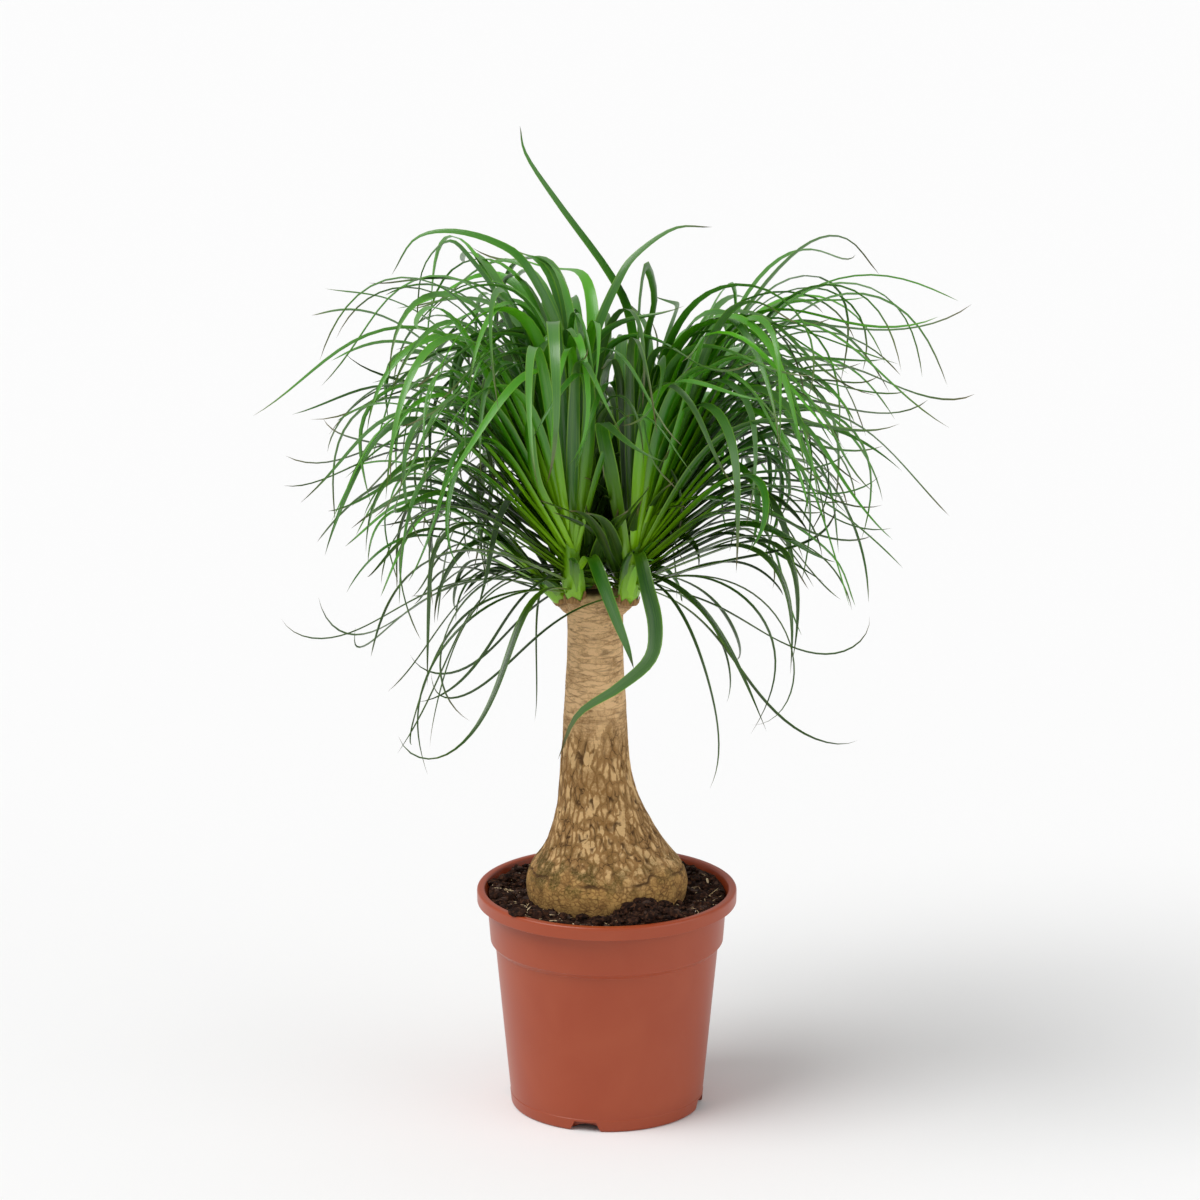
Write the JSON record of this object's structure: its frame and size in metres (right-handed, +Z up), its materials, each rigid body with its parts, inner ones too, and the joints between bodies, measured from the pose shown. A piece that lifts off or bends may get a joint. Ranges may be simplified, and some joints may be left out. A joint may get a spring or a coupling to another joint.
{
  "type": "potted ponytail palm",
  "caption": "Free-standing house plant: a swollen bark-covered stem with arching ribbon leaves in rosettes, growing in a tapered, banded nursery pot.",
  "frame": {"origin": "on the pot's axis, at the surface that the pot stands on", "axes": "+Z up along the pot's axis; -Y towards the viewer of the picture, +X to that viewer's right"},
  "size_m": [0.5097, 0.4721, 0.72],
  "materials": {
    "pot": "injection-moulded polypropylene, terracotta red, satin",
    "soil": "peat and bark potting mix, dry and crumbly",
    "bark": "corky bark, cracked into plates, matt",
    "leaves": "living leaf, smooth, satin wax"
  },
  "bodies": {
    "root": {"pot": "pot", "soil": "soil", "stem": "bark", "rosette_front_left": "leaves", "rosette_front_right": "leaves", "rosette_back": "leaves", "rosette_back_right": "leaves", "rosette_side_shoot": "leaves"}
  },
  "joints": []
}
